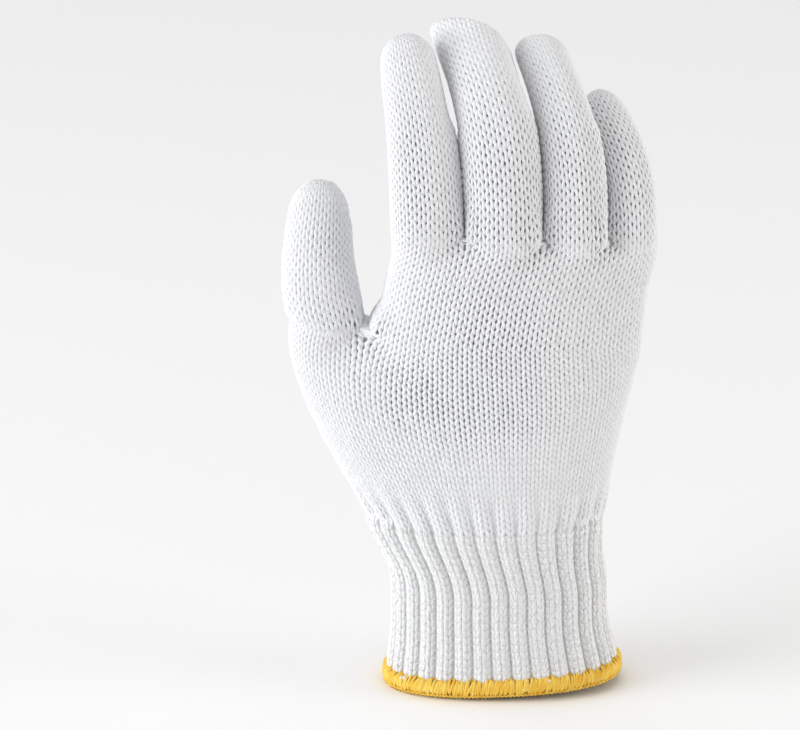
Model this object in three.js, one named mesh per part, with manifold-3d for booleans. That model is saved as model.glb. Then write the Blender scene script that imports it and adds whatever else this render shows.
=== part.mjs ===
// A knitted cotton work glove, for the right hand, in the shape it has when it is worn.
// It is built in the sections that a glove knitting machine makes: four finger tubes, a thumb tube,
// the palm above the thumb, the palm below it, a ribbed cuff, and the overlocked hem at its edge.
// Sizes are in millimetres and angles in degrees. +X runs from the thumb to the little finger,
// +Y from the back of the hand to its palm, and +Z from the wrist to the fingertips.
// The origin is the middle of the wrist opening.
import * as THREE from "three";
import Module from "manifold-3d";

const wasm = await Module();
wasm.setup();

// The knitted cloth
const WALL = 1.8;
const JOIN_GAP = 0.3;

// The cuff and its hem
const CUFF_TOP = 61.5;
const CUFF_WIDTH = 76.2;
const CUFF_DEPTH = 46;
const CUFF_CENTRE_X = -1.2;
const RIB_RELIEF = 1.4;
const HEM_HEIGHT = 6;
const HEM_TILT = 2.5;
const HEM_WIDTH = 82.2;
const HEM_DEPTH = 48.5;
const HEM_PROUD = 1.6;
// The hem's section: out is a share of half its thickness, up a share of its height
const HEM_SECTION = [
  { out: -0.5, up: 0 },
  { out: 0.5, up: 0 },
  { out: 1, up: 0.3 },
  { out: 1, up: 0.8 },
  { out: 0.6, up: 1 },
  { out: -0.6, up: 1 },
  { out: -1, up: 0.8 },
  { out: -1, up: 0.3 },
];

// The knitted columns of the cuff: those across its back, those of one side, and those of one rib
const BACK_COLUMNS = 37;
const SIDE_COLUMNS = 8;
const RIB_COLUMNS = 3;

// The palm, up to the thumb crotch and then up to the finger crotches
const WRIST_WIDTH = 85;
const WRIST_DEPTH = 43;
const WRIST_CENTRE_X = -6.5;
const THUMB_CROTCH_Z = 126.5;
const PALM_WIDTH = 96;
const PALM_DEPTH = 35;
const PALM_CENTRE_X = 0.8;
const FINGER_CROTCH_Z = 165;
const KNUCKLE_WIDTH = 92.5;
const KNUCKLE_DEPTH = 30;
const KNUCKLE_CENTRE_X = 6.4;
const KNUCKLE_TILT = 4;
const PALM_ARCH = 6;
const PALM_ARCH_X = -5;
const PALM_HOLLOW = 4;
const CREASE_FADE = 26;
const THENAR_BULGE = 4.8;
const HEEL_BULGE = 2.2;

// Each digit, in shares of the knuckles' width: its length from the crotch, its width and depth, and
// where it stands, the fingers from the middle of the knuckles and the thumb from the palm's edge.
// Its rounded tip is a share of its own width, and slants by an angle, higher on its thumb side.
const DIGITS = {
  index_finger: { length: 0.751, width: 0.279, depth: 0.281, tip: 0.42, slant: 0, x: -0.358, y: -0.016 },
  middle_finger: { length: 0.865, width: 0.285, depth: 0.292, tip: 0.22, slant: 34, x: -0.069, y: -0.026 },
  ring_finger: { length: 0.8, width: 0.238, depth: 0.27, tip: 0.36, slant: 15, x: 0.201, y: 0.017 },
  little_finger: { length: 0.584, width: 0.19, depth: 0.227, tip: 0.55, slant: 0, x: 0.419, y: 0.082 },
  thumb: { length: 0.541, width: 0.281, depth: 0.281, tip: 0.5, slant: 0, x: -0.158, y: 0.086 },
};
// The share of a digit's length at which its tip begins to slant
const SLANT_START = 0.75;
const FINGER_NAMES = ["index_finger", "middle_finger", "ring_finger", "little_finger"];

// How each digit runs: at is a share of its length, lean is towards the thumb side, curl is towards
// the palm, and width and depth are shares of the digit's own.
const RUNS = {
  index_finger: [
    { at: 0, lean: 1, curl: 0, width: 1, depth: 1 },
    { at: 0.25, lean: 4, curl: 10, width: 0.98, depth: 0.92 },
    { at: 0.5, lean: 8, curl: 22, width: 0.92, depth: 0.88 },
    { at: 0.75, lean: 13, curl: 38, width: 0.84, depth: 0.82 },
    { at: 1, lean: 14, curl: 46, width: 0.66, depth: 0.72 },
  ],
  middle_finger: [
    { at: 0, lean: 0, curl: 0, width: 1, depth: 1 },
    { at: 0.25, lean: 3, curl: 12, width: 1.01, depth: 0.9 },
    { at: 0.5, lean: 12, curl: 30, width: 1.01, depth: 0.88 },
    { at: 0.75, lean: 24, curl: 54, width: 0.98, depth: 0.84 },
    { at: 1, lean: 26, curl: 66, width: 1.08, depth: 0.8 },
  ],
  ring_finger: [
    { at: 0, lean: -1, curl: 0, width: 1, depth: 1 },
    { at: 0.25, lean: 3, curl: 14, width: 0.98, depth: 0.92 },
    { at: 0.5, lean: 14, curl: 28, width: 0.94, depth: 0.9 },
    { at: 0.75, lean: 25, curl: 44, width: 0.86, depth: 0.8 },
    { at: 1, lean: 32, curl: 54, width: 0.8, depth: 0.74 },
  ],
  little_finger: [
    { at: 0, lean: -1, curl: 0, width: 1, depth: 1 },
    { at: 0.25, lean: 6, curl: 18, width: 1, depth: 0.96 },
    { at: 0.5, lean: 19, curl: 34, width: 0.98, depth: 0.94 },
    { at: 0.75, lean: 34, curl: 46, width: 0.9, depth: 0.88 },
    { at: 1, lean: 40, curl: 54, width: 0.78, depth: 0.78 },
  ],
  thumb: [
    { at: 0, lean: 18, curl: 0, width: 1.03, depth: 1 },
    { at: 0.25, lean: 7, curl: 8, width: 1.02, depth: 1 },
    { at: 0.5, lean: -1, curl: 14, width: 0.93, depth: 1 },
    { at: 0.75, lean: -5, curl: 20, width: 0.84, depth: 0.92 },
    { at: 1, lean: -4, curl: 26, width: 0.72, depth: 0.8 },
  ],
};

// Facets
const ARC_STEPS = 4;
const SIDE_STEPS = 3;
const DIGIT_ROWS = 8;
const TIP_ROWS = 4;
const PALM_ROW_HEIGHT = 9;
const CUFF_ROWS = 5;

// Where a digit's back ends and its side begins, as an angle from its side, and the same on the palm
const DIGIT_CORNER = 35;
const PALM_CORNER = 20;
const ROUNDNESS = 2.3;
const TIP_SQUARENESS = 2.6;

const radians = THREE.MathUtils.degToRad;
const mix = THREE.MathUtils.lerp;
const smooth = THREE.MathUtils.smoothstep;

/** A column of a table, read between its rows. */
function column(rows, at, name) {
  const next = Math.max(1, rows.findIndex((row) => row.at >= at));
  const [low, high] = [rows[next - 1], rows[next]];
  const share = THREE.MathUtils.clamp((at - low.at) / (high.at - low.at), 0, 1);
  return mix(low[name], high[name], share);
}

/** A point on a rounded outline of half sizes a and b, from the thumb side over the back of the hand. */
function outlinePoint(degrees, a, b) {
  const bend = (value) => Math.sign(value) * Math.abs(value) ** (2 / ROUNDNESS);
  return [-a * bend(Math.cos(radians(degrees))), -b * bend(Math.sin(radians(degrees)))];
}

/** Points along a curve from one angle to another, evenly spaced, both ends included. */
function spaced(pointAt, from, to, steps) {
  const fine = steps * 12;
  const points = Array.from({ length: fine + 1 }, (_, i) => pointAt(mix(from, to, i / fine)));
  const run = [0];
  for (let i = 1; i <= fine; i++) run.push(run[i - 1] + points[i].distanceTo(points[i - 1]));
  const found = [];
  let i = 0;
  for (let step = 0; step <= steps; step++) {
    const wanted = (run[fine] * step) / steps;
    while (i < fine - 1 && run[i + 1] < wanted) i++;
    const share = THREE.MathUtils.clamp((wanted - run[i]) / (run[i + 1] - run[i]), 0, 1);
    found.push(points[i].clone().lerp(points[i + 1], share));
  }
  return found;
}

/** Arcs that follow each other, made one closed ring. Two ends that meet become one point between them. */
function joined(arcs) {
  return arcs.flatMap((arc, i) => {
    const before = arcs[(i + arcs.length - 1) % arcs.length];
    const corner = arc[0].clone().lerp(before[before.length - 1], 0.5);
    return [corner, ...arc.slice(1, -1)];
  });
}

/** The four arcs of a ring: its back, little-finger side, palm and thumb side. */
function fourArcs(pointAt, corner, backSteps, sideSteps) {
  return {
    back: spaced(pointAt, corner, 180 - corner, backSteps),
    little_side: spaced(pointAt, 180 - corner, 180 + corner, sideSteps),
    palm: spaced(pointAt, 180 + corner, 360 - corner, backSteps),
    thumb_side: spaced(pointAt, 360 - corner, 360 + corner, sideSteps),
  };
}

/** The height that a level course has gained at x, because the courses tilt more towards the knuckles. */
function tiltDrop(x, level) {
  const share = smooth(level, CUFF_TOP, FINGER_CROTCH_Z);
  return -x * Math.tan(radians(KNUCKLE_TILT)) * share;
}

/** A digit's sizes and place, in millimetres. */
function sizesOf(name) {
  const { length, width, depth, tip, x, y } = DIGITS[name];
  const from = name === "thumb" ? PALM_CENTRE_X - PALM_WIDTH / 2 : KNUCKLE_CENTRE_X;
  return {
    length: length * KNUCKLE_WIDTH,
    width: width * KNUCKLE_WIDTH,
    depth: depth * KNUCKLE_WIDTH,
    dome: tip * width * KNUCKLE_WIDTH,
    x: from + x * KNUCKLE_WIDTH,
    y: y * KNUCKLE_WIDTH,
  };
}

/** The centre line of a digit, as places, directions and sizes at even steps of its length. */
function digitLine(name) {
  const digit = sizesOf(name);
  const level = name === "thumb" ? THUMB_CROTCH_Z : FINGER_CROTCH_Z;
  const place = new THREE.Vector3(digit.x, digit.y, level + tiltDrop(digit.x, level));
  const steps = 60;
  return Array.from({ length: steps + 1 }, (_, i) => {
    const at = i / steps;
    const lean = radians(column(RUNS[name], at, "lean"));
    const curl = radians(column(RUNS[name], at, "curl"));
    const up = new THREE.Vector3(-Math.sin(lean) * Math.cos(curl), Math.sin(curl),
      Math.cos(lean) * Math.cos(curl));
    const toPalm = new THREE.Vector3(Math.sin(lean) * Math.sin(curl), Math.cos(curl),
      -Math.cos(lean) * Math.sin(curl));
    if (i > 0) place.addScaledVector(up, digit.length / steps);
    return { place: place.clone(), up, toPalm, across: new THREE.Vector3().crossVectors(toPalm, up) };
  });
}

/** The points of a digit at a share of its length, from its thumb side over its back. Inset goes inwards. */
function digitPointAt(name, line, at, inset) {
  const digit = sizesOf(name);
  const end = digit.length - inset;
  const along = THREE.MathUtils.clamp(at * digit.length, 0, end);
  const past = Math.max(0, (along - (end - digit.dome)) / digit.dome);
  const taper = Math.max(0.12, Math.sqrt(Math.max(0, 1 - past ** TIP_SQUARENESS)));
  const share = along / digit.length;
  const station = line[Math.round(share * (line.length - 1))];
  const a = ((digit.width / 2) * column(RUNS[name], share, "width") - inset) * taper;
  const b = ((digit.depth / 2) * column(RUNS[name], share, "depth") - inset) * taper;
  const slant = Math.tan(radians(DIGITS[name].slant)) * smooth(share, SLANT_START, 1);
  return (degrees) => {
    const [x, y] = outlinePoint(degrees, a, b);
    const point = station.place.clone().addScaledVector(station.across, x).addScaledVector(station.toPalm, y);
    return point.addScaledVector(station.up, -x * slant);
  };
}

/** The sections of a digit from its crotch to its tip, as shares of its length. */
function digitShares(name, inset) {
  const digit = sizesOf(name);
  const end = (digit.length - inset) / digit.length;
  const dome = digit.dome / digit.length;
  const shaft = Array.from({ length: DIGIT_ROWS }, (_, i) => ((end - dome) * i) / (DIGIT_ROWS - 1));
  const tip = Array.from({ length: TIP_ROWS }, (_, i) =>
    end - dome + dome * Math.sin((Math.PI / 2) * ((i + 1) / TIP_ROWS)));
  return [...shaft, ...tip];
}

/** The rings of a digit: the first lies level with the palm. It starts lower by carryDown millimetres. */
function digitRings(name, inset, carryDown) {
  const line = digitLine(name);
  const level = name === "thumb" ? THUMB_CROTCH_Z : FINGER_CROTCH_Z;
  const rings = digitShares(name, inset).map((at, row) => {
    const pointAt = digitPointAt(name, line, at, inset);
    const arcs = fourArcs(pointAt, DIGIT_CORNER, ARC_STEPS, SIDE_STEPS);
    const ring = joined([arcs.back, arcs.little_side, arcs.palm, arcs.thumb_side]);
    return row > 0 ? ring : ring.map((point) => point.setZ(level + tiltDrop(point.x, level)));
  });
  if (carryDown > 0) rings.unshift(raised(rings[0], -carryDown));
  return rings;
}

/** The arcs of a digit's first ring, brought down to another level of the palm. */
function rootArcs(name, level) {
  const line = digitLine(name);
  const pointAt = digitPointAt(name, line, 0, 0);
  const arcs = fourArcs(pointAt, DIGIT_CORNER, ARC_STEPS, SIDE_STEPS);
  const rise = smooth(level, THUMB_CROTCH_Z, FINGER_CROTCH_Z);
  const narrowing = name === "thumb" ? 1 : mix(PALM_WIDTH / KNUCKLE_WIDTH, 1, rise);
  const centreX = mix(PALM_CENTRE_X, KNUCKLE_CENTRE_X, rise);
  const shift = name === "thumb" ? 0 : centreX - KNUCKLE_CENTRE_X * narrowing;
  for (const arc of Object.values(arcs)) {
    for (const point of arc) {
      point.x = point.x * narrowing + shift;
      point.z = level + tiltDrop(point.x, level);
    }
  }
  return arcs;
}

/** The plain arcs of the palm at a level, without the creases between the fingers. */
function plainArcs(level, width, depth, centreX, archShare, backSteps) {
  const pointAt = (degrees) => {
    const [x, y] = outlinePoint(degrees, width / 2, depth / 2);
    const reach = (centreX + x - PALM_ARCH_X) / (width / 2);
    const arch = PALM_ARCH * archShare * reach ** 2;
    const inPalm = Math.max(0, y / (depth / 2)) * Math.max(0, 1 - ((x / (width / 2)) / 0.6) ** 2);
    const hollow = PALM_HOLLOW * archShare * inPalm;
    const place = new THREE.Vector3(centreX + x, y + arch - hollow, level);
    place.z += tiltDrop(place.x, level);
    return place;
  };
  return fourArcs(pointAt, PALM_CORNER, backSteps, SIDE_STEPS);
}

/** The difference between two rings, evened out along the ring over a spread of points, added to the first. */
function softened(plain, creased, spread) {
  const count = plain.length;
  const reach = Math.ceil(spread * 2.5);
  return plain.map((point, i) => {
    const sum = new THREE.Vector3();
    let weights = 0;
    for (let k = -reach; k <= reach; k++) {
      const j = (i + k + count) % count;
      const weight = Math.exp(-((k / Math.max(spread, 0.01)) ** 2) / 2);
      sum.addScaledVector(creased[j].clone().sub(plain[j]), weight);
      weights += weight;
    }
    return point.clone().addScaledVector(sum, 1 / weights);
  });
}

/** The arcs of the palm above the thumb at a level: an even hand at its foot, four fingers at its top. */
function upperPalmArcs(level) {
  const share = smooth(level, THUMB_CROTCH_Z, FINGER_CROTCH_Z);
  const rise = (level - THUMB_CROTCH_Z) / (FINGER_CROTCH_Z - THUMB_CROTCH_Z);
  const plain = plainArcs(level, mix(PALM_WIDTH, KNUCKLE_WIDTH, rise), mix(PALM_DEPTH, KNUCKLE_DEPTH, share),
    mix(PALM_CENTRE_X, KNUCKLE_CENTRE_X, rise), mix(0.6, 1, share), ARC_STEPS * FINGER_NAMES.length);
  const parts = FINGER_NAMES.map((name) => rootArcs(name, level));
  const creased = joined([
    ...parts.map((arcs) => arcs.back),
    parts[3].little_side,
    ...parts.map((arcs) => arcs.palm).reverse(),
    parts[0].thumb_side,
  ]);
  const ring = joined([plain.back, plain.little_side, plain.palm, plain.thumb_side]);
  const below = (FINGER_CROTCH_Z - level) / CREASE_FADE;
  const points = softened(ring, creased, below * ARC_STEPS).map((point, i) =>
    ring[i].clone().lerp(point, 1 - smooth(below, 0.1, 1)));
  const backSteps = ARC_STEPS * FINGER_NAMES.length;
  const cut = (from, steps) =>
    Array.from({ length: steps + 1 }, (_, i) => points[(from + i) % points.length].clone());
  return {
    back: cut(0, backSteps),
    little_side: cut(backSteps, SIDE_STEPS),
    palm: cut(backSteps + SIDE_STEPS, backSteps),
    thumb_side: cut(2 * backSteps + SIDE_STEPS, SIDE_STEPS),
  };
}

/** A ring of the palm above the thumb. */
function upperPalmRing(level) {
  const arcs = upperPalmArcs(level);
  return joined([arcs.back, arcs.little_side, arcs.palm, arcs.thumb_side]);
}

/** A ring of the palm below the thumb crotch: an even wrist at its foot, a hand with a thumb at its top. */
function lowerPalmRing(level) {
  const rise = Math.max(0, (level - CUFF_TOP) / (THUMB_CROTCH_Z - CUFF_TOP));
  const share = Math.sin((Math.PI / 2) * rise);
  const steps = ARC_STEPS * (FINGER_NAMES.length + 1);
  const wrist = plainArcs(level, WRIST_WIDTH, WRIST_DEPTH, WRIST_CENTRE_X, 0.2, steps);
  const plain = joined([wrist.back, wrist.little_side, wrist.palm, wrist.thumb_side]);
  const thumb = rootArcs("thumb", level);
  const hand = upperPalmArcs(THUMB_CROTCH_Z);
  for (const arc of Object.values(hand)) {
    for (const point of arc) point.z = level + tiltDrop(point.x, level);
  }
  const creased = joined([thumb.back, hand.back, hand.little_side, hand.palm, thumb.palm, thumb.thumb_side]);
  const below = (THUMB_CROTCH_Z - level) / CREASE_FADE;
  const soft = softened(plain, creased, below * ARC_STEPS);
  const thenar = THENAR_BULGE * Math.sin(Math.PI * rise);
  const heel = HEEL_BULGE * Math.sin(Math.PI * rise ** 0.75);
  return plain.map((point, i) => {
    const place = point.clone().lerp(soft[i], share);
    const side = THREE.MathUtils.clamp((place.x - WRIST_CENTRE_X) / (WRIST_WIDTH / 2), -1, 1);
    place.x += side * (side < 0 ? thenar : heel);
    return place;
  });
}

/** A ring of the cuff at a level, a point to each knitted column. Relief is how deep a rib's last one sits. */
function cuffRing(level, relief) {
  const flare = 1 - smooth(level, 0, CUFF_TOP * 0.46);
  const spread = smooth(level, CUFF_TOP * 0.64, CUFF_TOP * 1.05);
  const shift = smooth(level, CUFF_TOP * 0.55, CUFF_TOP);
  const width = mix(mix(CUFF_WIDTH, HEM_WIDTH, flare ** 1.5), WRIST_WIDTH, spread);
  const depth = mix(mix(CUFF_DEPTH, HEM_DEPTH, flare ** 1.5), WRIST_DEPTH, spread);
  const centreX = mix(CUFF_CENTRE_X * (1 - flare), WRIST_CENTRE_X, shift);
  const pointAt = (degrees) => {
    const [x, y] = outlinePoint(degrees, width / 2, depth / 2);
    return new THREE.Vector3(centreX + x, y, level + x * Math.tan(radians(HEM_TILT)) * flare);
  };
  const arcs = fourArcs(pointAt, PALM_CORNER, BACK_COLUMNS, SIDE_COLUMNS);
  const ring = joined([arcs.back, arcs.little_side, arcs.palm, arcs.thumb_side]);
  return ring.map((point, i) => {
    const sunk = i % RIB_COLUMNS === RIB_COLUMNS - 1 ? relief : 0;
    return point.clone().addScaledVector(outwards(ring, i), -sunk);
  });
}

/** Every second point of a ring. */
function thinned(ring) {
  return ring.filter((_, i) => i % 2 === 0);
}

/** The direction that faces out of a ring at one of its points, level with the ring. */
function outwards(ring, i) {
  const along = ring[(i + 1) % ring.length].clone().sub(ring[(i + ring.length - 1) % ring.length]);
  return new THREE.Vector3(along.y, -along.x, 0).normalize();
}

/** A ring moved inwards by a distance. */
function insetRing(ring, distance) {
  return ring.map((point, i) => point.clone().addScaledVector(outwards(ring, i), -distance));
}

/** A ring moved up by a distance. */
function raised(ring, distance) {
  return ring.map((point) => point.clone().setZ(point.z + distance));
}

/** The triangles that close a ring, by its own plane. */
function capTriangles(ring) {
  const normal = new THREE.Vector3();
  ring.forEach((point, i) => normal.add(new THREE.Vector3().crossVectors(point, ring[(i + 1) % ring.length])));
  normal.normalize();
  const across = new THREE.Vector3(1, 0, 0).addScaledVector(normal, -normal.x).normalize();
  const along = new THREE.Vector3().crossVectors(normal, across);
  const flat = ring.map((point) => new THREE.Vector2(point.dot(across), point.dot(along)));
  return THREE.ShapeUtils.triangulateShape(flat, []);
}

/** The triangles between rings that follow each other upwards, the first point being number start. */
function sideTriangles(rings, start) {
  const count = rings[0].length;
  const triangles = [];
  for (let row = 0; row + 1 < rings.length; row++) {
    for (let i = 0; i < count; i++) {
      const [a, b] = [start + row * count + i, start + row * count + ((i + 1) % count)];
      triangles.push([a, b, b + count], [a, b + count, a + count]);
    }
  }
  return triangles;
}

/** The triangles of a cloth edge that faces down, between an outer ring and an inner one. */
function rimTriangles(outerStart, outerCount, innerStart, innerCount) {
  const each = outerCount / innerCount;
  const triangles = [];
  for (let i = 0; i < innerCount; i++) {
    const [here, next] = [innerStart + i, innerStart + ((i + 1) % innerCount)];
    for (let k = 0; k < each; k++) {
      const corner = i * each + k;
      triangles.push([outerStart + ((corner + 1) % outerCount), outerStart + corner, here]);
    }
    triangles.push([outerStart + (((i + 1) * each) % outerCount), here, next]);
  }
  return triangles;
}

/** The same triangles, facing the other way. */
function turned(triangles) {
  return triangles.map(([a, b, c]) => [c, b, a]);
}

/** The triangles that close a ring from above, its first point being number start. */
function lidTriangles(ring, start) {
  return capTriangles(ring).map((corners) => corners.map((corner) => corner + start));
}

/** A closed solid through rings that follow each other upwards and have as many points. */
function loft(rings) {
  const last = rings[rings.length - 1];
  return solid(rings.flat(), [
    ...sideTriangles(rings, 0),
    ...turned(lidTriangles(rings[0], 0)),
    ...lidTriangles(last, (rings.length - 1) * last.length),
  ]);
}

/** Cloth between outer rings and inner rings, open at the foot, and at the top too if isOpenAtTop. */
function cloth(outer, inner, isOpenAtTop) {
  const [outerCount, innerCount] = [outer[0].length, inner[0].length];
  const innerStart = outer.length * outerCount;
  const outerLast = innerStart - outerCount;
  const innerLast = innerStart + (inner.length - 1) * innerCount;
  const top = isOpenAtTop
    ? turned(rimTriangles(outerLast, outerCount, innerLast, innerCount))
    : [...lidTriangles(outer[outer.length - 1], outerLast),
       ...turned(lidTriangles(inner[inner.length - 1], innerLast))];
  return solid([...outer.flat(), ...inner.flat()], [
    ...sideTriangles(outer, 0),
    ...turned(sideTriangles(inner, innerStart)),
    ...rimTriangles(0, outerCount, innerStart, innerCount),
    ...top,
  ]);
}

/** A manifold-3d solid of the given points and triangles. */
function solid(points, triangles) {
  return new wasm.Manifold(new wasm.Mesh({
    numProp: 3,
    vertProperties: new Float32Array(points.flatMap((point) => point.toArray())),
    triVerts: new Uint32Array(triangles.flat()),
  }));
}

/** Levels from one height to another, about a row's height apart. */
function levels(from, to) {
  const rows = Math.max(2, Math.round((to - from) / PALM_ROW_HEIGHT));
  return Array.from({ length: rows + 1 }, (_, i) => mix(from, to, i / rows));
}

/** A finger or thumb: a tube with a closed, rounded tip. */
function makeDigit(name) {
  return cloth(digitRings(name, 0, 0), digitRings(name, WALL, 0), false);
}

/** A palm section: cloth all round and over its top, open at its foot, cut through by what goes up. */
function makePalm(rings, ways) {
  const inner = rings.map((ring) => insetRing(ring, WALL));
  const foot = raised(inner[0], -WALL);
  const roof = raised(inner[inner.length - 1], -WALL);
  const closed = loft(rings).subtract(loft([foot, ...inner.slice(0, -1), roof]));
  return ways.reduce((shape, way) => shape.subtract(way), closed);
}

/** A way into a digit through the roof of the palm, a little narrower than the digit's own hollow. */
function wayInto(name) {
  return loft(digitRings(name, WALL + JOIN_GAP, 2 * WALL).slice(0, 3));
}

/** The palm above the thumb, open to the four fingers. */
function makeUpperPalm() {
  const rings = levels(THUMB_CROTCH_Z + JOIN_GAP, FINGER_CROTCH_Z - JOIN_GAP).map(upperPalmRing);
  return makePalm(rings, FINGER_NAMES.map(wayInto));
}

/** The palm below the thumb crotch, open to the thumb and to the palm above. */
function makeLowerPalm() {
  const rings = levels(CUFF_TOP + JOIN_GAP, THUMB_CROTCH_Z - JOIN_GAP).map(lowerPalmRing);
  const hand = insetRing(upperPalmRing(THUMB_CROTCH_Z), WALL + JOIN_GAP);
  return makePalm(rings, [loft([raised(hand, -2 * WALL), raised(hand, WALL)]), wayInto("thumb")]);
}

/** The ribbed cuff, open at both ends. Its inside is even, because the ribs close up there. */
function makeCuff() {
  const [foot, top] = [HEM_HEIGHT + JOIN_GAP, CUFF_TOP - JOIN_GAP];
  const rows = Array.from({ length: CUFF_ROWS + 1 }, (_, row) => mix(foot, top, row / CUFF_ROWS));
  const fade = (level) => RIB_RELIEF * (1 - smooth(level, CUFF_TOP * 0.8, CUFF_TOP));
  const outer = rows.map((level) => cuffRing(level, fade(level)));
  const inner = rows.map((level) => insetRing(thinned(cuffRing(level, 0)), WALL + fade(level) / 2));
  return cloth(outer, inner, true);
}

/** The overlocked hem: a rounded band of thread round the cuff's edge. */
function makeHem() {
  const spine = thinned(cuffRing(HEM_HEIGHT / 2, 0));
  const points = spine.flatMap((point, i) => HEM_SECTION.map((corner) => {
    const away = corner.out * (WALL / 2 + HEM_PROUD) - WALL / 2;
    const place = point.clone().addScaledVector(outwards(spine, i), away);
    return place.setZ(place.z + (corner.up - 0.5) * HEM_HEIGHT);
  }));
  const sides = HEM_SECTION.length;
  const triangles = spine.flatMap((_, i) => HEM_SECTION.flatMap((__, j) => {
    const [here, next] = [i * sides, ((i + 1) % spine.length) * sides];
    const after = (j + 1) % sides;
    return [[here + j, next + j, next + after], [here + j, next + after, here + after]];
  }));
  return solid(points, triangles);
}

/** A named mesh of a solid, with its own finish. */
function meshOf(name, shape, finish) {
  const found = shape.getMesh();
  const positions = new Float32Array(found.numVert * 3);
  for (let i = 0; i < found.numVert; i++) {
    positions.set(found.vertProperties.subarray(i * found.numProp, i * found.numProp + 3), i * 3);
  }
  const geometry = new THREE.BufferGeometry();
  geometry.setAttribute("position", new THREE.BufferAttribute(positions, 3));
  geometry.setIndex(new THREE.BufferAttribute(found.triVerts, 1));
  geometry.computeVertexNormals();
  const mesh = new THREE.Mesh(geometry, finish());
  mesh.name = name;
  return mesh;
}

const whiteCotton = () => new THREE.MeshStandardMaterial({ color: 0xf0f1f4, roughness: 0.95, metalness: 0 });
const yellowThread = () => new THREE.MeshStandardMaterial({ color: 0xeebb2c, roughness: 0.9, metalness: 0 });

const glove = new THREE.Group();
glove.add(meshOf("hem_overlock", makeHem(), yellowThread));
glove.add(meshOf("rib_cuff", makeCuff(), whiteCotton));
glove.add(meshOf("lower_palm", makeLowerPalm(), whiteCotton));
glove.add(meshOf("upper_palm", makeUpperPalm(), whiteCotton));
for (const name of [...FINGER_NAMES, "thumb"]) {
  const digit = meshOf(name, makeDigit(name), whiteCotton);
  digit.position.z = JOIN_GAP;
  glove.add(digit);
}

export default glove;
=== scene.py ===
"""Looks of a knitted cotton work glove, in which every stitch is a loop of yarn.

The cloth lies on the same surfaces as the part's solids, read finer: a ring of points to each level, with
a column of stitches (a wale) every few points and a row of stitches (a course) every few rings. Along each
course runs one closed strand of yarn, which loops once at every wale. Sizes here are in millimetres, and
the meshes are written in metres.
"""

import logging
import math
from dataclasses import dataclass
from enum import Enum
from typing import Callable

import bmesh
import bpy
import numpy as np
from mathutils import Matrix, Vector

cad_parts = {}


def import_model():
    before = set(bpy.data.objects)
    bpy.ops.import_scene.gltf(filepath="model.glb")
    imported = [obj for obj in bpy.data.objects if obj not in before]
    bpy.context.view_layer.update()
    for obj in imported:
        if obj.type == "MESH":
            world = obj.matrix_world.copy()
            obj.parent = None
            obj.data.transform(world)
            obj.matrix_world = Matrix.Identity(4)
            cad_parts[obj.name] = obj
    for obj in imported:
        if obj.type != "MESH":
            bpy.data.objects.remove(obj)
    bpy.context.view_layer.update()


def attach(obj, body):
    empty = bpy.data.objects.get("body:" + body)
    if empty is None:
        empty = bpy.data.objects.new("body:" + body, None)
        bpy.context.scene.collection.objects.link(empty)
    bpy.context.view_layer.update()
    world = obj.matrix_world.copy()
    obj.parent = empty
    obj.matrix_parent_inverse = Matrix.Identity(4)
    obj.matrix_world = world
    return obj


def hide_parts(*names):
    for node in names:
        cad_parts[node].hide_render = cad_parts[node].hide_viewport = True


LOG = logging.getLogger("glove")
METRES = 0.001
Points = np.ndarray

# The cloth
WALL = 1.8

# The cuff
CUFF_FOOT = 3.0
CUFF_TOP = 61.5
CUFF_WIDTH = 76.2
CUFF_DEPTH = 46.0
CUFF_CENTRE_X = -1.2

# Shares of the cuff's height where its flare ends, its shift starts and it widens, and the flare's power
FLARE_END = 0.46
SHIFT_START = 0.55
WIDENING = (0.64, 1.05)
FLARE_CURVE = 1.5

# The hem round its foot
HEM_HEIGHT = 6.0
HEM_TILT = 2.5
HEM_WIDTH = 82.2
HEM_DEPTH = 48.5

# The palm, up to the thumb crotch and then up to the finger crotches
WRIST_WIDTH = 85.0
WRIST_DEPTH = 43.0
WRIST_CENTRE_X = -6.5
THUMB_CROTCH_Z = 126.5
PALM_WIDTH = 96.0
PALM_DEPTH = 35.0
PALM_CENTRE_X = 0.8
FINGER_CROTCH_Z = 165.0
KNUCKLE_WIDTH = 92.5
KNUCKLE_DEPTH = 30.0
KNUCKLE_CENTRE_X = 6.4
KNUCKLE_TILT = 4.0
PALM_ARCH = 6.0
PALM_ARCH_X = -5.0
PALM_HOLLOW = 4.0
HOLLOW_REACH = 0.6
THUMB_LEVEL_ARCH = 0.6
WRIST_ARCH = 0.2
CREASE_FADE = 26.0
CREASE_START = 0.1
THENAR_BULGE = 4.8
HEEL_BULGE = 2.2
HEEL_CURVE = 0.75

# Where a back ends and a side begins, as an angle from the side
DIGIT_CORNER = 35.0
PALM_CORNER = 20.0
WRIST_CORNER = 15.0
ROUNDNESS = 2.3
TIP_SQUARENESS = 2.6
SLANT_START = 0.75
LEAST_TAPER = 0.1

# Where the cloth is stretched open, or less than nothing where it is tight: x, z, reach each way, how much
OPEN_CLOTH = ((6.0, 186.0, 60.0, 32.0, 1.3), (-2.0, 130.0, 28.0, 26.0, 1.3), (-32.0, 108.0, 13.0, 13.0, 1.0),
              (-60.0, 158.0, 8.0, 12.0, 0.8), (-58.0, 130.0, 8.0, 10.0, 0.7), (42.0, 178.0, 14.0, 22.0, 0.9),
              (4.0, 229.0, 24.0, 7.0, -0.6), (-20.0, 205.0, 6.0, 25.0, -0.5), (-45.0, 190.0, 8.0, 40.0, -0.4),
              (-31.0, 194.0, 8.0, 28.0, 0.6), (-2.0, 98.0, 26.0, 14.0, 0.85))
TIGHTENING = 0.27
MOST_OPEN = 1.3

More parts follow.
